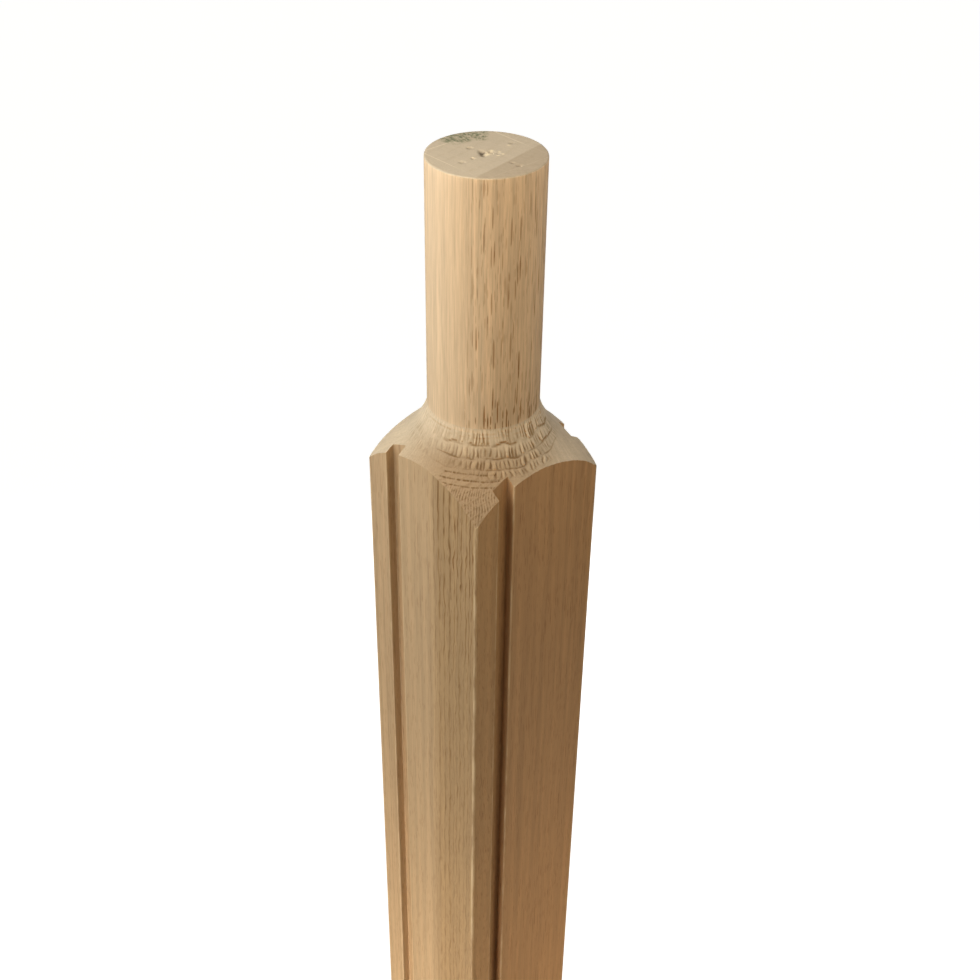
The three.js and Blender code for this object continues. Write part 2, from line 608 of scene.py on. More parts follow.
wander_place = add(torn, JOIN, [arc, from_axis, given["Seed"]])
wander = add(torn, NOISE, [wander_place, WANDER_PER_MM, 0.0])
row = add(torn, MINUS, [from_axis, PIN_RADIUS])
row = add(torn, MATH, [row, given["Row Pitch"]], operation="DIVIDE")
row = add(torn, TIMES_PLUS, [wander, ROW_WANDER, row])
row = add(torn, MINUS, [row, ROW_WANDER / 2])
row_number = add(torn, MATH, [row], operation="FLOOR")
row_share = add(torn, MATH, [row], operation="FRACT")
print(f"The innermost row starts near a radius of {PIN_RADIUS} mm")

# %% Scales in a row
SHIFT_PER_ROW = 7.31
LEAN = 2.4
LEAN_PER_MM = 0.16
MEAN_LIFT = 0.55

across = add(torn, MATH, [arc, given["Tear Width"]], operation="DIVIDE")
across = add(torn, TIMES_PLUS, [row_number, SHIFT_PER_ROW, across])
lean_seed = add(torn, PLUS, [given["Seed"], 9.0])
lean_place = add(torn, JOIN, [arc, from_axis, lean_seed])
lean = add(torn, NOISE, [lean_place, LEAN_PER_MM, 2.0])
across = add(torn, TIMES_PLUS, [lean, LEAN, across])
gap = add(torn, VORONOI, [across, 1.0], voronoi_dimensions="1D", feature="DISTANCE_TO_EDGE")
opening = add(torn, RANGE, [row_share, 0.0, 0.8, 0.2, 0.5])
whole = add(torn, SMOOTH, [gap, 0.03, opening])
chance = add(torn, VORONOI, [across, 1.0], voronoi_dimensions="1D").outputs["Color"]
chance = add(torn, SPLIT, [chance]).outputs
lift = add(torn, RANGE, [chance["X"], 0.0, 1.0, 0.4, 1.3])
scale_height = add(torn, TIMES, [whole, lift])
scale_height = add(torn, MINUS, [scale_height, MEAN_LIFT])
print(f"{len(torn.nodes)} nodes so far")

# %% Ends of the scales
# A scale rises outwards and breaks off short of its row's end, some sooner than others.
BREAK_LENGTH = 0.14

breaking = add(torn, RANGE, [chance["Y"], 0.0, 1.0, 0.62, 0.85])
broken_off = add(torn, PLUS, [breaking, BREAK_LENGTH])
rising = add(torn, SMOOTH, [row_share, -0.1, 0.35])
falling = add(torn, SMOOTH, [row_share, broken_off, breaking])
ramp = add(torn, TIMES, [rising, falling])
scale_height = add(torn, TIMES, [scale_height, ramp])
print(f"{len(torn.nodes)} nodes so far")

# %% [markdown]
# ### Undercuts and strokes
#
# Past the break the tool dug under the next row, which leaves a narrow undercut, deeper in some places
# than in others. Short strokes run outwards among the scales, where single fibres came away.

# %% Undercuts and strokes
STROKES_PER_MM = (0.6, 0.3)
STROKE_HEIGHT = 0.6
PATCHES_PER_MM = 0.1

undercut_start = add(torn, SMOOTH, [row_share, 0.78, 0.9])
undercut_end = add(torn, SMOOTH, [row_share, 1.0, 0.9])
undercut = add(torn, TIMES, [undercut_start, undercut_end])
patches = add(torn, NOISE, [wander_place, PATCHES_PER_MM, 2.0])
deeper = add(torn, RANGE, [patches, 0.42, 0.58, 0.05, 0.6])
undercut = add(torn, TIMES, [undercut, deeper])

stroke_across = add(torn, TIMES, [arc, STROKES_PER_MM[0]])
stroke_along = add(torn, TIMES, [from_axis, STROKES_PER_MM[1]])
stroke_place = add(torn, JOIN, [stroke_across, stroke_along, given["Seed"]])
fibre_strokes = add(torn, NOISE, [stroke_place, 1.0, 2.0])
fibre_strokes = add(torn, MINUS, [fibre_strokes, 0.5])
scales = add(torn, TIMES_PLUS, [fibre_strokes, STROKE_HEIGHT, scale_height])
print(f"{len(torn.nodes)} nodes so far")

# %% [markdown]
# ### Where the grain is torn
#
# End grain tears where the cutter runs against the fibres, so a turned square shows it most at one
# place and again, more weakly, at each quarter turn. The tearing is strongest at one azimuth, where it
# also reaches farthest out. The undercuts go farther round than the scales do, as thin dark arcs.

# %% Tearing round the axis
WEAK_SIDE = 0.35
REACH_FADE = 5.0
BLOTCHES_PER_MM = 0.17

from_tear = add(torn, MINUS, [around, given["Tear Azimuth"]])
towards_tear = add(torn, MATH, [from_tear], operation="COSINE")
strong = add(torn, SMOOTH, [towards_tear, 0.45, 0.85, WEAK_SIDE])
main_side = add(torn, MATH, [strong, WEAK_SIDE + 0.01], operation="GREATER_THAN")
fourfold = add(torn, TIMES, [from_tear, 4.0])
fourfold = add(torn, MATH, [fourfold], operation="COSINE")
fourfold = add(torn, RANGE, [fourfold, -1.0, 0.0])
fourfold = add(torn, MATH, [fourfold, main_side], operation="MAXIMUM")
fade_start = add(torn, SMOOTH, [towards_tear, 0.75, 0.96, 31.5, 35.0])
fade_end = add(torn, PLUS, [fade_start, REACH_FADE])
near_pin = add(torn, SMOOTH, [from_axis, fade_end, fade_start])
torn_here = add(torn, TIMES, [fourfold, near_pin])
torn_here = add(torn, TIMES, [torn_here, strong])
blotches = add(torn, NOISE, [lean_place, BLOTCHES_PER_MM, 1.0])
blotches = add(torn, RANGE, [blotches, 0.34, 0.52, 0.2])
torn_here = add(torn, TIMES, [torn_here, blotches])
tear = add(torn, TIMES, [scales, torn_here])

arc_side = add(torn, SMOOTH, [towards_tear, 0.2, 0.55])
arc_share = add(torn, TIMES, [arc_side, near_pin])
undercut = add(torn, TIMES, [undercut, arc_share])
tear = add(torn, MINUS, [tear, undercut])
print(f"{len(torn.nodes)} nodes so far")

# %% [markdown]
# ### The outer strip of the left board
#
# That strip has wide pores. There the cutter's turns show as dotted rings, and outside them, where the
# shoulder is steep again, the open fibres are short strokes that run down it. Both are thin lines at a
# regular pitch that a noise breaks up, so one function finds the nearest line for both.

# %% The strip, and lines in it
STRIP_FROM = 11.5
STRIP_EDGE = 0.4
STRIP_FACE = -19.0


def nearest_line(in_pitches):
    """The number of the nearest of a row of lines, and how far away it is, both in pitches."""
    number = add(torn, MATH, [in_pitches], operation="ROUND")
    offset = add(torn, MINUS, [in_pitches, number])
    return number, add(torn, MATH, [offset], operation="ABSOLUTE")


strip = add(torn, RANGE, [axes["X"], STRIP_FROM - STRIP_EDGE, STRIP_FROM + STRIP_EDGE])
in_left_board = add(torn, MATH, [axes["Y"], STRIP_FACE], operation="LESS_THAN")
strip = add(torn, TIMES, [strip, in_left_board])
past_scales = add(torn, RANGE, [from_axis, 34.8, 36.4])
strip = add(torn, TIMES, [strip, past_scales])
print(f"The strip starts {STRIP_FROM} mm from the middle")

# %% Dotted rings
TURN_PITCH = 2.15
TURN_WANDER = 0.5
DOTS_PER_MM = 0.9

turn_place = add(torn, MATH, [from_axis, TURN_PITCH], operation="DIVIDE")
turn_place = add(torn, TIMES_PLUS, [wander, TURN_WANDER, turn_place])
turn_number, turn_away = nearest_line(turn_place)
turn_lines = add(torn, SMOOTH, [turn_away, 0.17, 0.05])
dot_across = add(torn, TIMES, [arc, DOTS_PER_MM])
dot_place = add(torn, JOIN, [dot_across, turn_number, given["Seed"]])
dots = add(torn, NOISE, [dot_place, 1.0, 1.0])
dots = add(torn, RANGE, [dots, 0.4, 0.58, 0.1])
outermost = add(torn, RANGE, [from_axis, 40.0, 42.5])
not_outermost = add(torn, MINUS, [1.0, outermost])
dots = add(torn, TIMES, [dots, not_outermost])
turn_lines = add(torn, TIMES, [turn_lines, dots])
print(f"The turns are {TURN_PITCH} mm apart")

# %% Strokes down the corner
STROKES_PER_RADIAN = 38.0
STROKE_WANDER = 2.5
STROKE_BREAKS_PER_MM = 0.55
LINE_DEPTH = 0.75

corner_place = add(torn, TIMES, [around, STROKES_PER_RADIAN])
corner_place = add(torn, TIMES_PLUS, [wander, STROKE_WANDER, corner_place])
corner_number, off_stroke = nearest_line(corner_place)
corner_strokes = add(torn, SMOOTH, [off_stroke, 0.22, 0.06])
along_stroke = add(torn, TIMES, [from_axis, STROKE_BREAKS_PER_MM])
break_place = add(torn, JOIN, [corner_number, along_stroke, given["Seed"]])
breaks = add(torn, NOISE, [break_place, 1.0, 2.0])
breaks = add(torn, RANGE, [breaks, 0.4, 0.58, 0.0, 0.8])
corner_strokes = add(torn, TIMES, [corner_strokes, breaks])
corner_strokes = add(torn, TIMES, [corner_strokes, outermost])
strip_lines = add(torn, MATH, [turn_lines, corner_strokes], operation="MAXIMUM")
strip_lines = add(torn, TIMES, [strip_lines, strip])
tear = add(torn, TIMES_PLUS, [strip_lines, -LINE_DEPTH, tear])
print(f"The strokes are {SIDE / math.sqrt(2) / STROKES_PER_RADIAN:.1f} mm apart at the corner")

# %% [markdown]
# ### Cutter rings, and the points moved
#
# The cutter's own fine rings cover the whole shoulder. Everything adds up to one height, which moves
# each point along its normal. The tearing is stored as an attribute as well, so that the wood can be
# darker in the hollows. A tree for the export ends in Realize Instances and Set Material.

# %% Moved points
RING_WANDER = 1.2

ring = add(torn, MATH, [from_axis, given["Ring Pitch"]], operation="DIVIDE")
ring = add(torn, TIMES_PLUS, [wander, RING_WANDER, ring])
ring = add(torn, TIMES, [ring, math.tau])
ring = add(torn, MATH, [ring], operation="SINE")
ring = add(torn, TIMES, [ring, given["Ring Depth"]])
height = add(torn, TIMES_PLUS, [tear, given["Tear Depth"], ring])

allowed = add(torn, "GeometryNodeInputNamedAttribute", {"Name": "shoulder"}, data_type="FLOAT")
height = add(torn, TIMES, [height, allowed])
stored_tear = add(torn, TIMES, [tear, allowed])
push = add(torn, TIMES, [height, MM])
own_normal = add(torn, "GeometryNodeInputNormal")
push = add(torn, SCALE, [own_normal, push])

named = add(torn, "GeometryNodeStoreNamedAttribute",
            {"Geometry": given["Geometry"], "Name": "torn", "Value": stored_tear},
            data_type="FLOAT", domain="POINT")
moved = add(torn, "GeometryNodeSetPosition", {"Geometry": named, "Offset": push})
real = add(torn, "GeometryNodeRealizeInstances", {"Geometry": moved})
finished = add(torn, "GeometryNodeSetMaterial", {"Geometry": real, "Material": given["Material"]})
add(torn, "NodeGroupOutput", [finished])
print(f"The torn grain tree has {len(torn.nodes)} nodes")

# %% [markdown]
# ## Bare oak
#
# The post is unfinished red oak. Nothing seals it, so it is matt and pale, and its open pores show as
# dark dashes along the grain and as dots across it. Oak is ring-porous: each year starts with a band
# of wide pores, which makes the rings visible, and rays cross them from the heart outwards.
#
# The wood is one solid pattern in the post's own millimetres, and every surface shows the cut that it
# makes through that pattern. Each board is a box in plan with its own heart, so its rings are circles
# round a line. Where a face cuts them steeply they crowd into lines, and where it only touches them
# they spread out.

# %% Boards in plan
CORE_HALF = 19.05
BEYOND = 70.0
BOARDS = {
    # name: box in plan (x from, x to, y from, y to), heart (x, y), lean in mm per metre, ring in mm, tone
    "core": ((-CORE_HALF, CORE_HALF, -CORE_HALF, CORE_HALF), (-80, -20), (2, 1), 6.0, "#bc9f7a"),
    "left face": ((-CORE_HALF, BEYOND, -BEYOND, -CORE_HALF), (-9, -17), (3, 0), 2.5, "#bea17b"),
    "right face": ((CORE_HALF, BEYOND, -CORE_HALF, BEYOND), (-26, 12), (0, 14), 3.4, "#bd9468"),
    "far face": ((-BEYOND, CORE_HALF, CORE_HALF, BEYOND), (6, -38), (8, 0), 3.2, "#bc9d77"),
    "back face": ((-BEYOND, -CORE_HALF, -BEYOND, CORE_HALF), (40, -14), (0, 9), 2.8, "#c0a27c"),
}
print("Boards:", ", ".join(BOARDS))

# %% [markdown]
# ### How the fibres run
#
# Fibres wander slowly sideways along the grain. Near the post's front corner they also ripple, a
# millimetre to and fro every centimetre or two, and the body shows that but the turned pin doesn't.
# A noise is drawn out along the post by squeezing the place that it is read at.

# %% Fibres
WANDER = 2.4
RIPPLE = 2.6
RIPPLE_CENTRE = (30, -38, 0)
IN_PLAN = (1, 1, 0)
WANDERS_PER_MM = (0.03, 0.03, 0.012)
RIPPLES_PER_MM = (0.35, 0.35, 0.11)

oak = bpy.data.materials.new("bare red oak, planed and turned")
oak.use_nodes = True
wood = oak.node_tree
wood.nodes.clear()

object_place = add(wood, "ShaderNodeTexCoord").outputs["Object"]
mm = add(wood, SCALE, [object_place, 1 / MM])
mm_axes = add(wood, SPLIT, [mm]).outputs
mm_plan = add(wood, SQUEEZE, [mm, IN_PLAN])

slow_place = add(wood, SQUEEZE, [mm, WANDERS_PER_MM])
slow = add(wood, NOISE, [slow_place, 1.0, 1.0]).outputs["Color"]
grain = add(wood, VECTOR, [slow, (WANDER, WANDER, 0), mm], operation="MULTIPLY_ADD")
quick_place = add(wood, SQUEEZE, [mm, RIPPLES_PER_MM])
quick = add(wood, NOISE, [quick_place, 1.0, 1.0]).outputs["Color"]
from_corner = add(wood, VECTOR, [mm_plan, RIPPLE_CENTRE], operation="DISTANCE")
near_corner = add(wood, RANGE, [from_corner, 30.0, 12.0])
below_pin = add(wood, RANGE, [mm_axes["Z"], SHOULDER_TOP - 22.0, SHOULDER_TOP - 40.0])
ripple = add(wood, TIMES, [near_corner, below_pin])
ripple = add(wood, TIMES, [ripple, RIPPLE])
quick = add(wood, SQUEEZE, [quick, IN_PLAN])
quick = add(wood, SCALE, [quick, ripple])
grain = add(wood, SHIFT, [grain, quick])
grain_plan = add(wood, SQUEEZE, [grain, IN_PLAN])
print(f"Fibres wander by {WANDER} mm and ripple by {RIPPLE} mm")

# %% [markdown]
# ### Which board, and how many years from its heart
#
# The boards don't overlap, so each one's share can be added to the sum of the ones before it. A margin
# is the way to the board's nearest side, and is above zero only inside it.

# %% Rings of each board
SEED_STEP = 17.3

years = 0.0
from_joint = 0.0
seed = 0.0
outwards = (0, 0, 0)
board_tone = (0, 0, 0)
for number, (box, heart, lean, ring_width, hex_tone) in enumerate(BOARDS.values()):
    centre = ((box[0] + box[1]) / 2, (box[2] + box[3]) / 2, HEIGHT / 2)
    half = ((box[1] - box[0]) / 2, (box[3] - box[2]) / 2, HEIGHT)
    margin = add(wood, VECTOR, [mm, centre], operation="SUBTRACT")
    margin = add(wood, VECTOR, [margin], operation="ABSOLUTE")
    margin = add(wood, VECTOR, [half, margin], operation="SUBTRACT")
    margin = add(wood, SPLIT, [margin]).outputs
    margin = add(wood, MATH, [margin["X"], margin["Y"]], operation="MINIMUM")
    inside = add(wood, MATH, [margin, 0.0], operation="GREATER_THAN")
    leaning = add(wood, SCALE, [(lean[0] * MM, lean[1] * MM, 0), mm_axes["Z"]])
    from_heart = add(wood, VECTOR, [grain_plan, (heart[0], heart[1], 0)], operation="SUBTRACT")
    from_heart = add(wood, VECTOR, [from_heart, leaning], operation="SUBTRACT")
    distance = add(wood, VECTOR, [from_heart], operation="LENGTH")
    board_years = add(wood, MATH, [distance, ring_width], operation="DIVIDE")
    years = add(wood, TIMES_PLUS, [board_years, inside, years])
    board_outwards = add(wood, VECTOR, [from_heart], operation="NORMALIZE")
    board_outwards = add(wood, SCALE, [board_outwards, inside])
    outwards = add(wood, SHIFT, [board_outwards, outwards])
    seed = add(wood, TIMES_PLUS, [inside, SEED_STEP * number, seed])
    from_joint = add(wood, MATH, [margin, from_joint], operation="MAXIMUM")
    own_tone = add(wood, SCALE, [linear(hex_tone)[:3], inside])
    board_tone = add(wood, SHIFT, [own_tone, board_tone])
seed_shift = add(wood, JOIN, [seed, seed, seed])
print(f"{len(BOARDS)} boards take {len(wood.nodes)} nodes")

# %% [markdown]
# ### Year rings
#
# A year counts from 0 in spring to 1 in winter, and no two are equally wide. Its first third is the
# porous spring wood, which is broken up along the grain, because no band of pores is unbroken.

# %% Year rings
YEAR_SPREAD = 1.6
CHANGES_PER_YEAR = 0.37
BREAKS_PER_MM = (0.45, 0.45, 0.07)

year_place = add(wood, TIMES_PLUS, [years, CHANGES_PER_YEAR, seed])
uneven = add(wood, NOISE, [year_place, 1.0, 1.0], noise_dimensions="1D")
year = add(wood, TIMES_PLUS, [uneven, YEAR_SPREAD, years])
season = add(wood, MATH, [year], operation="FRACT")
spring_start = add(wood, SMOOTH, [season, 0.0, 0.12])
spring_end = add(wood, SMOOTH, [season, 0.45, 0.16])
spring = add(wood, TIMES, [spring_start, spring_end])
break_up = add(wood, SQUEEZE, [mm, BREAKS_PER_MM])
break_up = add(wood, NOISE, [break_up, 1.0, 1.0])
break_up = add(wood, RANGE, [break_up, 0.36, 0.56, 0.25, 1.2])
spring = add(wood, TIMES, [spring, break_up])
print(f"The rings are {min(b[3] for b in BOARDS.values())} to {max(b[3] for b in BOARDS.values())} mm wide")

# %% [markdown]
# ### Pores
#
# The pores are long cells, 0.3 mm across and many millimetres long, which a Voronoi pattern gives when
# its space is squeezed along the grain. They are drawn two to three times as wide as real, because
# finer ones would fall between the picture's pixels. Long ones come singly, and some are much darker
# than others. Short ones lie close together.

# %% Pores
LONG_PITCH = 1.0
LONG_LENGTH = 19.0
SHORT_PITCH = 0.85
SHORT_LENGTH = 8.0


def pores(squeezed, narrowest, widest, softness):
    """Pores of random width, one to a cell of this space, and the cells' random numbers."""
    cells = add(wood, VORONOI, [squeezed, 1.0]).outputs
    chances = add(wood, SPLIT, [cells["Color"]]).outputs
    width = add(wood, RANGE, [chances["X"], 0.0, 1.0, narrowest, widest])
    core = add(wood, MINUS, [width, cells["Distance"]])
    return add(wood, SMOOTH, [core, 0.0, softness]), chances


long_place = add(wood, SQUEEZE, [grain, (1 / LONG_PITCH, 1 / LONG_PITCH, 1 / LONG_LENGTH)])
long_place = add(wood, SHIFT, [long_place, seed_shift])
long_pores, long_chances = pores(long_place, 0.16, 0.44, 0.09)
long_dark = add(wood, RANGE, [long_chances["Y"], 0.1, 1.0, 0.3])
long_pores = add(wood, TIMES, [long_pores, long_dark])
short_place = add(wood, SQUEEZE, [grain, (1 / SHORT_PITCH, 1 / SHORT_PITCH, 1 / SHORT_LENGTH)])
short_pores = pores(short_place, 0.15, 0.42, 0.12)[0]
print(f"Long pores are {LONG_PITCH} mm apart and {LONG_LENGTH} mm long")

# %% [markdown]
# ### Streaks, fibres and rays
#
# Streaks are a few millimetres wide and some two hundred long. Fibres are finer than a millimetre. Rays
# run outwards from the heart, so their noise is read at the angle round it.

# %% Streaks, fibres and rays
STREAKS_PER_MM = (0.3, 0.3, 0.005)
FIBRES_PER_MM = (1.25, 1.25, 0.04)
RAYS_PER_RADIAN = 40.0
RAY_BREAKS_PER_YEAR = 0.3

streak_place = add(wood, SQUEEZE, [grain, STREAKS_PER_MM])
streak_place = add(wood, SHIFT, [streak_place, seed_shift])
streaks = add(wood, NOISE, [streak_place, 1.0, 3.0])
fibre_place = add(wood, SQUEEZE, [grain, FIBRES_PER_MM])
fibres = add(wood, NOISE, [fibre_place, 1.0, 3.0, 0.7])

outward_axes = add(wood, SPLIT, [outwards]).outputs
ray_angle = add(wood, MATH, [outward_axes["Y"], outward_axes["X"]], operation="ARCTAN2")
ray_across = add(wood, TIMES, [ray_angle, RAYS_PER_RADIAN])
ray_along = add(wood, TIMES, [years, RAY_BREAKS_PER_YEAR])
ray_place = add(wood, JOIN, [ray_across, ray_along, seed])
rays = add(wood, NOISE, [ray_place, 1.0, 2.0])
print(f"The wood has {len(wood.nodes)} nodes")

# %% [markdown]
# ### Cuts across the grain
#
# The same fibres look different when they are cut across. The shoulder is turned end grain, pale and
# rough. The two flat ends were sawn, and have gone grey. The surface's own direction tells them
# apart: steep is long grain, sloping is turned end grain, and level at either end is sawn.

# %% Kinds of cut
END_REACH = 2.5
FOOT_REACH = 0.2

normal = add(wood, "ShaderNodeNewGeometry").outputs["True Normal"]
normal_axes = add(wood, SPLIT, [normal]).outputs
levelness = add(wood, MATH, [normal_axes["Z"]], operation="ABSOLUTE")
across_grain = add(wood, SMOOTH, [levelness, 0.16, 0.34])
along_grain = add(wood, MINUS, [1.0, across_grain])
at_top = add(wood, MATH, [mm_axes["Z"], HEIGHT - END_REACH], operation="GREATER_THAN")
at_foot = add(wood, MATH, [mm_axes["Z"], FOOT_REACH], operation="LESS_THAN")
at_end = add(wood, MATH, [at_top, at_foot], operation="MAXIMUM")
level = add(wood, RANGE, [levelness, 0.3, 0.7])
sawn = add(wood, TIMES, [at_end, level])
on_pin = add(wood, MATH, [mm_axes["Z"], SHOULDER_TOP - 2.0], operation="GREATER_THAN")
on_body = add(wood, MINUS, [1.0, on_pin])
plan_radius = add(wood, VECTOR, [mm_plan], operation="LENGTH")
plan_angle = add(wood, MATH, [mm_axes["Y"], mm_axes["X"]], operation="ARCTAN2")

# Rings that a face only touches are broad and faint. Rings that it cuts steeply are narrow and clear.
touching = add(wood, VECTOR, [outwards, normal], operation="DOT_PRODUCT")
touching = add(wood, MATH, [touching], operation="ABSOLUTE")
cutting = add(wood, SMOOTH, [touching, 0.93, 0.7])
print("Cuts: planed and turned along the grain, turned across it, and sawn")

# %% [markdown]
# ### Tones of the wood
#
# A planed face keeps its board's tone. The pin is painted paler and less yellow than the body: partly the
# lathe's fresh cut, partly painted light, because the pin stands nearer the lamps and in cooler light than
# the body. Its front half runs through more open wood. Turned end grain is painted palest in the cove next
# to the pin, as painted light where the cove catches the lamps from above, and darkens outwards towards the
# front corner.

# %% Front of the pin
FRONT_ANGLE = math.radians(-4)
PIN_PALENESS = 0.85
TURNED_LONG = "#dbbf9a"

from_front = add(wood, MINUS, [plan_angle, FRONT_ANGLE])
from_front = add(wood, MATH, [from_front], operation="COSINE")
pin_front = add(wood, SMOOTH, [from_front, 0.42, 0.78])
pin_front = add(wood, TIMES, [pin_front, on_pin])
# Partly painted light: the pin is painted paler and cooler than the body, for its fresh cut and for the
# stronger, cooler light it gets near the lamps.
pin_paleness = add(wood, TIMES, [on_pin, PIN_PALENESS])
tone = add(wood, PAINT, [pin_paleness, board_tone, linear(TURNED_LONG)])
print("The pin is", TURNED_LONG)

# %% End grain
TURNED_END = "#c6b498"
TORN_END = "#9e8565"
SAWN_END = "#b4a68f"
DARK_CORNER = math.radians(-50)

torn_side = add(wood, MINUS, [plan_angle, DARK_CORNER])
torn_side = add(wood, MATH, [torn_side], operation="COSINE")
torn_side = add(wood, RANGE, [torn_side, 0.2, 0.95])
torn_out = add(wood, SMOOTH, [plan_radius, 23.5, 34.5])
torn_share = add(wood, TIMES, [torn_side, torn_out])
end_tone = add(wood, PAINT, [torn_share, linear(TURNED_END), linear(TORN_END)])
tone = add(wood, PAINT, [across_grain, tone, end_tone])
tone = add(wood, PAINT, [sawn, tone, linear(SAWN_END)])
print("End grain is", TURNED_END, TORN_END, SAWN_END)

# %% Streaks and fibres in the tone
shade = add(wood, RANGE, [streaks, 0.35, 0.65, 0.91, 1.07])
# Painted light: the end grain is painted brighter in the cove next to the pin, where the cove catches the
# lamps from above.
cove_painted_light = add(wood, RANGE, [plan_radius, 28.0, 31.5, 1.17, 1.03])
shade = add(wood, BLEND, [across_grain, shade, cove_painted_light])

fine_depth = add(wood, RANGE, [pin_front, 0.0, 1.0, 0.34, 0.5])
fine_depth = add(wood, BLEND, [on_pin, 0.19, fine_depth])
fine_depth = add(wood, BLEND, [sawn, fine_depth, 0.14])
fine_shade = add(wood, MINUS, [fibres, 0.5])
fine_shade = add(wood, TIMES, [fine_shade, 2.0])
fine_shade = add(wood, TIMES_PLUS, [fine_shade, fine_depth, 1.0])
shade = add(wood, TIMES, [shade, fine_shade])
colour = add(wood, SCALE, [tone, shade])
print(f"{len(wood.nodes)} nodes so far")

# %% [markdown]
# ### Darker parts of the grain
#
# The outer strip of the left board is darker and more open than the rest. Ring lines are clear on it
# just under the shoulder, and faint everywhere else. Pores and ring lines tint the wood, so that they
# keep its hue.

# %% Outer strip
OUTER_SHADE = "#e8e3d6"
EDGE_SHADE = "#faebd8"

outer = add(wood, SMOOTH, [mm_axes["X"], 3.0, 15.0])
left_board = add(wood, MATH, [mm_axes["Y"], -CORE_HALF], operation="LESS_THAN")
outer = add(wood, TIMES, [outer, left_board])
outer = add(wood, TIMES, [outer, on_body])
outer_face = add(wood, TIMES, [outer, along_grain])
towards_left = add(wood, MATH, [normal_axes["Y"]], operation="ABSOLUTE")
outer_shade = add(wood, PAINT, [towards_left, linear(EDGE_SHADE), linear(OUTER_SHADE)])
colour = add(wood, TINT, [outer_face, colour, outer_shade])
print("The outer strip is tinted", OUTER_SHADE, "and its narrow side", EDGE_SHADE)

# %% Ring lines
SPRING_SHADE = "#bfa780"
CLEAR_FROM = 965.0
CLEAR_TO = 1045.0

clearer = add(wood, RANGE, [mm_axes["Z"], CLEAR_FROM, CLEAR_TO, 0.4])
open_wood = add(wood, TIMES, [outer, clearer])
spring_depth = add(wood, RANGE, [open_wood, 0.0, 1.0, 0.2, 0.85])
spring_depth = add(wood, BLEND, [on_pin, spring_depth, 0.06])
spring_depth = add(wood, TIMES, [spring_depth, cutting])
at_corner = add(wood, RANGE, [from_corner, 16.0, 9.0, 0.14, 0.22])
end_depth = add(wood, TIMES_PLUS, [outer, at_corner, 0.04])
spring_depth = add(wood, BLEND, [across_grain, spring_depth, end_depth])
spring_depth = add(wood, BLEND, [sawn, spring_depth, 0.07])
spring_share = add(wood, TIMES, [spring, spring_depth])
colour = add(wood, TINT, [spring_share, colour, linear(SPRING_SHADE)])
print(f"Ring lines are clear from {CLEAR_TO} mm up")

# %% Pores in the colour
# The pin's foot is the most open part, where the cutter came to rest against the shoulder.
PORE_SHADE = "#b4936a"

pin_foot = add(wood, RANGE, [mm_axes["Z"], SHOULDER_TOP + 16.0, SHOULDER_TOP + 6.0])
long_on_pin = add(wood, TIMES_PLUS, [pin_foot, 0.3, 0.8])
long_on_pin = add(wood, TIMES, [long_on_pin, pin_front])
long_depth = add(wood, BLEND, [on_pin, 0.3, long_on_pin])
long_depth = add(wood, TIMES, [long_depth, along_grain])
short_on_pin = add(wood, TIMES_PLUS, [pin_foot, 0.6, 0.3])
short_on_pin = add(wood, TIMES, [short_on_pin, pin_front])
short_depth = add(wood, BLEND, [on_pin, 0.26, short_on_pin])
short_depth = add(wood, BLEND, [across_grain, short_depth, 0.14])
short_depth = add(wood, BLEND, [sawn, short_depth, 0.03])
pore_share = add(wood, TIMES, [long_pores, long_depth])
pore_share = add(wood, TIMES_PLUS, [short_pores, short_depth, pore_share])
colour = add(wood, TINT, [pore_share, colour, linear(PORE_SHADE)])

# Rays show as fine lines on end grain only.
ray_shade = add(wood, RANGE, [rays, 0.3, 0.7, 0.93, 1.06])
ray_depth = add(wood, TIMES_PLUS, [sawn, -0.6, across_grain])
ray_shade = add(wood, BLEND, [ray_depth, 1.0, ray_shade])
colour = add(wood, SCALE, [colour, ray_shade])
print(f"{len(wood.nodes)} nodes so far")

# %% [markdown]
# ### Marks on the sawn end
#
# A slanting year ring parts paler wood from darker wood on the disc, and beyond it thin lines follow
# at a steady pitch. Glue shows as a pale thread where two boards meet. A stamp of grey-green ink
# has smudged along the rim: short strokes that run together. Dents hold shade, and the torn fibre
# round the drive pit is bare and pale.

# %% Year lines and glue
DARKER_SHADE = "#ece8e4"
GLUE = "#e4d6bc"
YEAR_PITCH = 5.2
LAST_YEAR = 11.6

slant = add(wood, VECTOR, [mm, (1.0, 0.2, 0.0)], operation="DOT_PRODUCT")
darker = add(wood, RANGE, [slant, LAST_YEAR - 0.4, LAST_YEAR + 0.5])
past_year = add(wood, MINUS, [slant, LAST_YEAR])
line = add(wood, MATH, [past_year, YEAR_PITCH / 2], operation="PINGPONG")
line = add(wood, RANGE, [line, 2.1, 2.5])
line = add(wood, TIMES, [line, darker])
darker = add(wood, TIMES_PLUS, [line, 0.9, darker])
darker = add(wood, TIMES, [darker, sawn])
colour = add(wood, TINT, [darker, colour, linear(DARKER_SHADE)])

glue_line = add(wood, RANGE, [from_joint, 0.32, 0.12])
glue_line = add(wood, TIMES, [glue_line, sawn])
glue_share = add(wood, RANGE, [mm_axes["X"], 4.0, -1.0, 0.12, 0.55])
glue_line = add(wood, TIMES, [glue_line, glue_share])
colour = add(wood, PAINT, [glue_line, colour, linear(GLUE)])
print("The glue line is", GLUE)

# %% Ink
INK = "#686e4e"
INK_FROM = math.radians(134)
INK_TO = math.radians(196)
INK_PER_RADIAN = 20.0
INK_PER_MM = 0.35
INK_SEED = 2.0

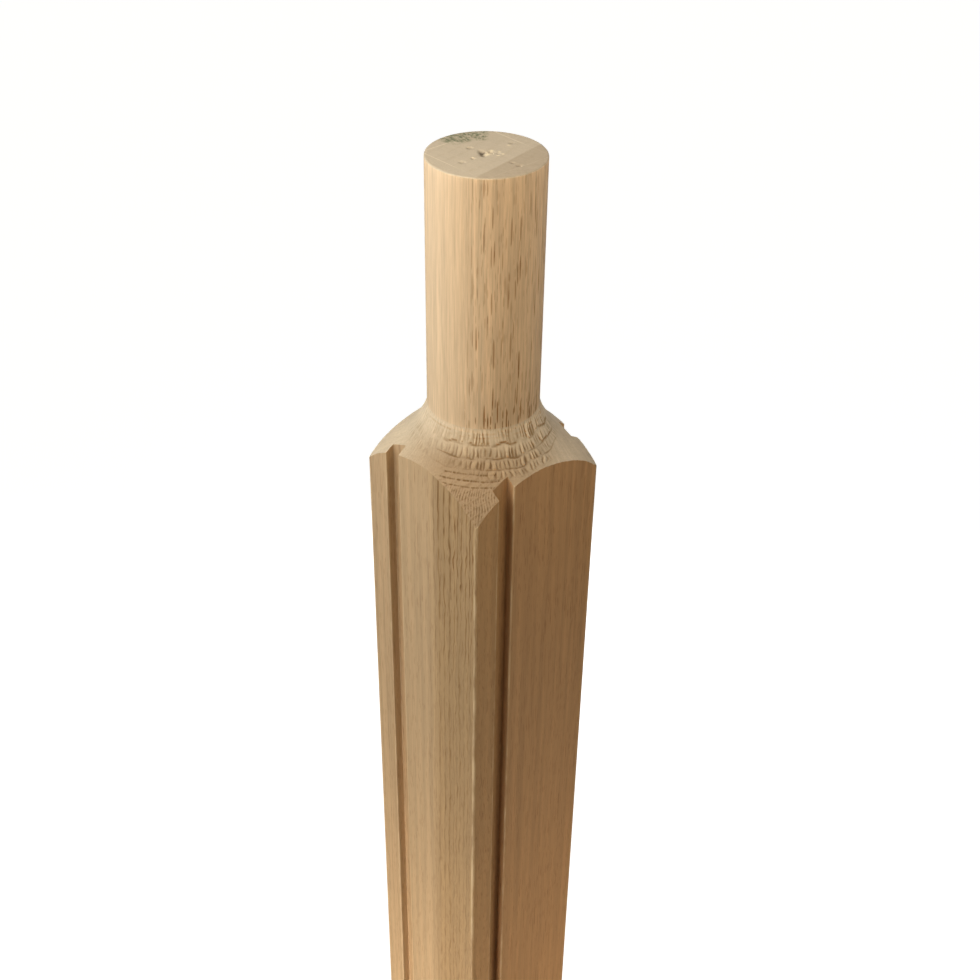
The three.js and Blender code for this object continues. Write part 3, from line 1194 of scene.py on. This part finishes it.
ink_angle = add(wood, MATH, [plan_angle, math.tau, 0.0], operation="WRAP")
ink_start = add(wood, RANGE, [ink_angle, INK_FROM, INK_FROM + 0.1])
ink_end = add(wood, RANGE, [ink_angle, INK_TO, INK_TO - 0.12])
ink_inner = add(wood, RANGE, [plan_radius, 14.0, 16.5])
ink_area = add(wood, TIMES, [ink_start, ink_end])
ink_area = add(wood, TIMES, [ink_area, ink_inner])
ink_area = add(wood, TIMES, [ink_area, sawn])
ink_round = add(wood, TIMES, [plan_angle, INK_PER_RADIAN])
ink_out = add(wood, TIMES, [plan_radius, INK_PER_MM])
ink_place = add(wood, JOIN, [ink_round, ink_out, INK_SEED])
ink = add(wood, NOISE, {"Vector": ink_place, "Scale": 1.0, "Detail": 2.0, "Distortion": 0.8})
ink = add(wood, RANGE, [ink, 0.44, 0.58])
ink_cloud = add(wood, NOISE, [mm, 0.25, 2.0])
ink_cloud = add(wood, RANGE, [ink_cloud, 0.3, 0.5])
ink = add(wood, TIMES_PLUS, [ink, 0.6, 0.32])
ink = add(wood, TIMES, [ink, ink_cloud])
ink = add(wood, TIMES, [ink, ink_area])
colour = add(wood, PAINT, [ink, colour, linear(INK)])
print(f"The ink reaches {math.degrees(INK_TO - INK_FROM):.0f} degrees round the rim")

# %% Dents and chips
BARE_CHIP = "#f0dfba"

# Painted shade: dents and the drive pit are painted darker the deeper they are.
dent = add(wood, "ShaderNodeAttribute", attribute_name="dent").outputs["Fac"]
dent_shade = add(wood, RANGE, [dent, 0.05, 1.3, 1.0, 0.3])
colour = add(wood, SCALE, [colour, dent_shade])
bare_chip = add(wood, "ShaderNodeAttribute", attribute_name="bare").outputs["Fac"]
colour = add(wood, PAINT, [bare_chip, colour, linear(BARE_CHIP)])
print("Bare chips are", BARE_CHIP)

# %% [markdown]
# ### Painted shade and highlights on the torn grain and the edges
#
# Hollows of the torn grain get painted shade, and their lifted edges a painted highlight, which also stands
# for their bare pale fibre. Eased edges get a painted highlight along the arris, here more and there less.

# %% Torn grain and edges, with painted shade and highlights
HOLLOW_SHADE = "#bba98c"
ARRIS_HIGHLIGHT = "#dcc39a"
HIGHLIGHT_BREAKS_PER_MM = (0.3, 0.3, 0.06)

tearing = add(wood, "ShaderNodeAttribute", attribute_name="torn").outputs["Fac"]
# Painted light: lifted scales are painted paler, as a highlight and as bare fibre, and hollows darker, as
# painted shade.
lifted_highlight = add(wood, RANGE, [tearing, 0.0, 0.45, 1.0, 1.2])
colour = add(wood, SCALE, [colour, lifted_highlight])
hollow_shade = add(wood, RANGE, [tearing, 0.0, -0.5])
colour = add(wood, TINT, [hollow_shade, colour, linear(HOLLOW_SHADE)])

# Painted highlight: the eased edges are painted paler along the arris, where the light catches them, more in
# some places than in others.
on_arris = add(wood, "ShaderNodeAttribute", attribute_name="arris").outputs["Fac"]
highlight_place = add(wood, SQUEEZE, [mm, HIGHLIGHT_BREAKS_PER_MM])
highlight_strength = add(wood, NOISE, [highlight_place, 1.0, 3.0])
highlight_strength = add(wood, RANGE, [highlight_strength, 0.38, 0.65, 0.12, 0.85])
arris_highlight = add(wood, TIMES, [on_arris, highlight_strength])
colour = add(wood, PAINT, [arris_highlight, colour, linear(ARRIS_HIGHLIGHT)])
print(f"{len(wood.nodes)} nodes so far")

# %% [markdown]
# ### The surface
#
# Pores are sunk and fibres stand up a little, which a bump can show at this depth. Planed oak has a
# faint sheen along the grain. End grain is rougher and has none.

# %% Surface
BUMP_DEPTH = 0.1 * MM

bump_height = add(wood, TIMES, [pore_share, -1.0])
bump_height = add(wood, TIMES_PLUS, [fibres, 0.5, bump_height])
bump = add(wood, "ShaderNodeBump", {"Height": bump_height, "Strength": 0.8, "Distance": BUMP_DEPTH})
roughness = add(wood, RANGE, [across_grain, 0.0, 1.0, 0.6, 0.85])
surface = add(wood, "ShaderNodeBsdfPrincipled",
              {"Base Color": colour, "Roughness": roughness, "Normal": bump, "IOR": 1.5})
add(wood, "ShaderNodeOutputMaterial", {"Surface": surface})
print(f"The oak has {len(wood.nodes)} nodes")

# %% [markdown]
# ## Turning the tree's result into a plain mesh
#
# The modifier's inputs are set by their identifiers, before the post is first evaluated. The result
# then becomes an ordinary mesh that carries its own shape, attributes and material.

# %% Apply the torn grain
modifier = post.modifiers.new("torn grain", "NODES")
modifier.node_group = torn
for name, (identifier, value) in torn_inputs.items():
    modifier[identifier] = oak if name == "Material" else value
depsgraph = bpy.context.evaluated_depsgraph_get()
plain = bpy.data.meshes.new_from_object(post.evaluated_get(depsgraph), depsgraph=depsgraph)
post.modifiers.clear()
post.data = plain
plain.name = "newel post, torn"
print(f"The plain mesh has {len(plain.polygons)} faces and the material {plain.materials[0].name}")

# %% [markdown]
# ## Floor and light
#
# The post stands on a light table, as goods do in a catalogue. Its sheet is a bowl turned round
# the post, flat in the middle and rising far away, so that no edge shows. It glows, so that it stays
# white although the lamps are near the post, and the glow is kept off the post itself, where it would
# fill every shadow from below.

# %% Light table
# Each ring of the bowl is a reach and a rise in metres. The middle lies a hair below the post's foot.
BOWL = [(0.0, -0.0003), (8.0, 0.0), (11.0, 0.35), (13.0, 1.6), (14.0, 4.0), (14.0, 14.0)]
BOWL_STEPS = 96

bowl_points = []
for reach, rise in BOWL:
    for step in range(BOWL_STEPS):
        angle = step / BOWL_STEPS * math.tau
        bowl_points.append((reach * math.cos(angle), reach * math.sin(angle), rise))
bowl_faces = []
for inner_start in range(0, (len(BOWL) - 1) * BOWL_STEPS, BOWL_STEPS):
    outer_start = inner_start + BOWL_STEPS
    for step in range(BOWL_STEPS):
        after = (step + 1) % BOWL_STEPS
        bowl_faces.append((inner_start + step, outer_start + step, outer_start + after, inner_start + after))
floor_mesh = bpy.data.meshes.new("light table")
floor_mesh.from_pydata(bowl_points, [], bowl_faces)
floor_mesh.shade_smooth()
floor = bpy.data.objects.new("light table", floor_mesh)
floor.visible_diffuse = False
floor.visible_glossy = False
bpy.context.scene.collection.objects.link(floor)
print(f"The light table is {2 * BOWL[-1][0]:.0f} m across")

# %% Lit sheet
sheet = bpy.data.materials.new("opal acrylic sheet, lit from below")
sheet.use_nodes = True
sheet_surface = sheet.node_tree.nodes["Principled BSDF"].inputs
sheet_surface["Base Color"].default_value = linear("#a8a8a8")
sheet_surface["Roughness"].default_value = 0.9
sheet_surface["Emission Color"].default_value = linear("#fffefc")
sheet_surface["Emission Strength"].default_value = 1.0
floor_mesh.materials.append(sheet)
print("The light table is", sheet.name)

# %% [markdown]
# ### Lamps
#
# One soft lamp is close to the pin, high to the left, so its light falls off quickly down the post, and
# a cool one farther round gives the left side a colder edge. A warm lamp high on the right is weaker,
# and so is a cool one past it. Two tall strips stand close to the body, because the lamps at the pin
# don't reach it. A broad lamp behind shows the two far faces to anyone who walks round.

# %% Lamps
LAMPS = {
    # name: azimuth in degrees (0 is +X), elevation, distance and aim height in m, size in m, watts, colour
    "key": (-105, 35, 0.42, 1.17, (0.40, 0.40), 2.5, "#fffaf2"),
    "left": (-145, 5, 1.00, 1.00, (0.50, 0.50), 3.1, "#e8f6ff"),
    "body left": (-80, 0, 0.32, 0.40, (0.20, 0.80), 2.3, "#fff0dc"),
    "right": (0, 35, 0.42, 1.19, (0.35, 0.35), 1.22, "#ffebca"),
    "body right": (35, 0, 0.32, 0.40, (0.20, 0.80), 1.0, "#ffdeb2"),
    "far right": (60, 35, 0.42, 1.19, (0.35, 0.35), 0.55, "#c8e0ff"),
    "back": (135, 4, 1.40, 0.65, (0.80, 1.40), 9.0, "#fffaf4"),
}
for name, (azimuth, elevation, distance, aim, size, power, hex_colour) in LAMPS.items():
    lamp_data = bpy.data.lights.new(name, "AREA")
    lamp_data.shape = "RECTANGLE"
    lamp_data.size, lamp_data.size_y = size
    lamp_data.energy = power
    lamp_data.color = linear(hex_colour)[:3]
    lamp = bpy.data.objects.new(name, lamp_data)
    sideways = math.radians(azimuth)
    upwards = math.radians(elevation)
    towards_lamp = Vector((
        math.cos(sideways) * math.cos(upwards),
        math.sin(sideways) * math.cos(upwards),
        math.sin(upwards),
    ))
    lamp.location = Vector((0, 0, aim)) + towards_lamp * distance
    lamp.rotation_euler = towards_lamp.to_track_quat("Z", "Y").to_euler()
    lamp.visible_camera = False
    bpy.context.scene.collection.objects.link(lamp)
print(f"{len(LAMPS)} lamps")

# %% Room
ROOM_LIGHT = 0.03

world = bpy.data.worlds.new("pale room")
world.use_nodes = True
world.node_tree.nodes["Background"].inputs["Color"].default_value = linear("#ffffff")
world.node_tree.nodes["Background"].inputs["Strength"].default_value = ROOM_LIGHT
bpy.context.scene.world = world
bpy.context.scene.view_settings.view_transform = "Standard"
print("The room adds", ROOM_LIGHT)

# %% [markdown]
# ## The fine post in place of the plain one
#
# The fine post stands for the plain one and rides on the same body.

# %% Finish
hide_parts("newel_post")
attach(post, "root")
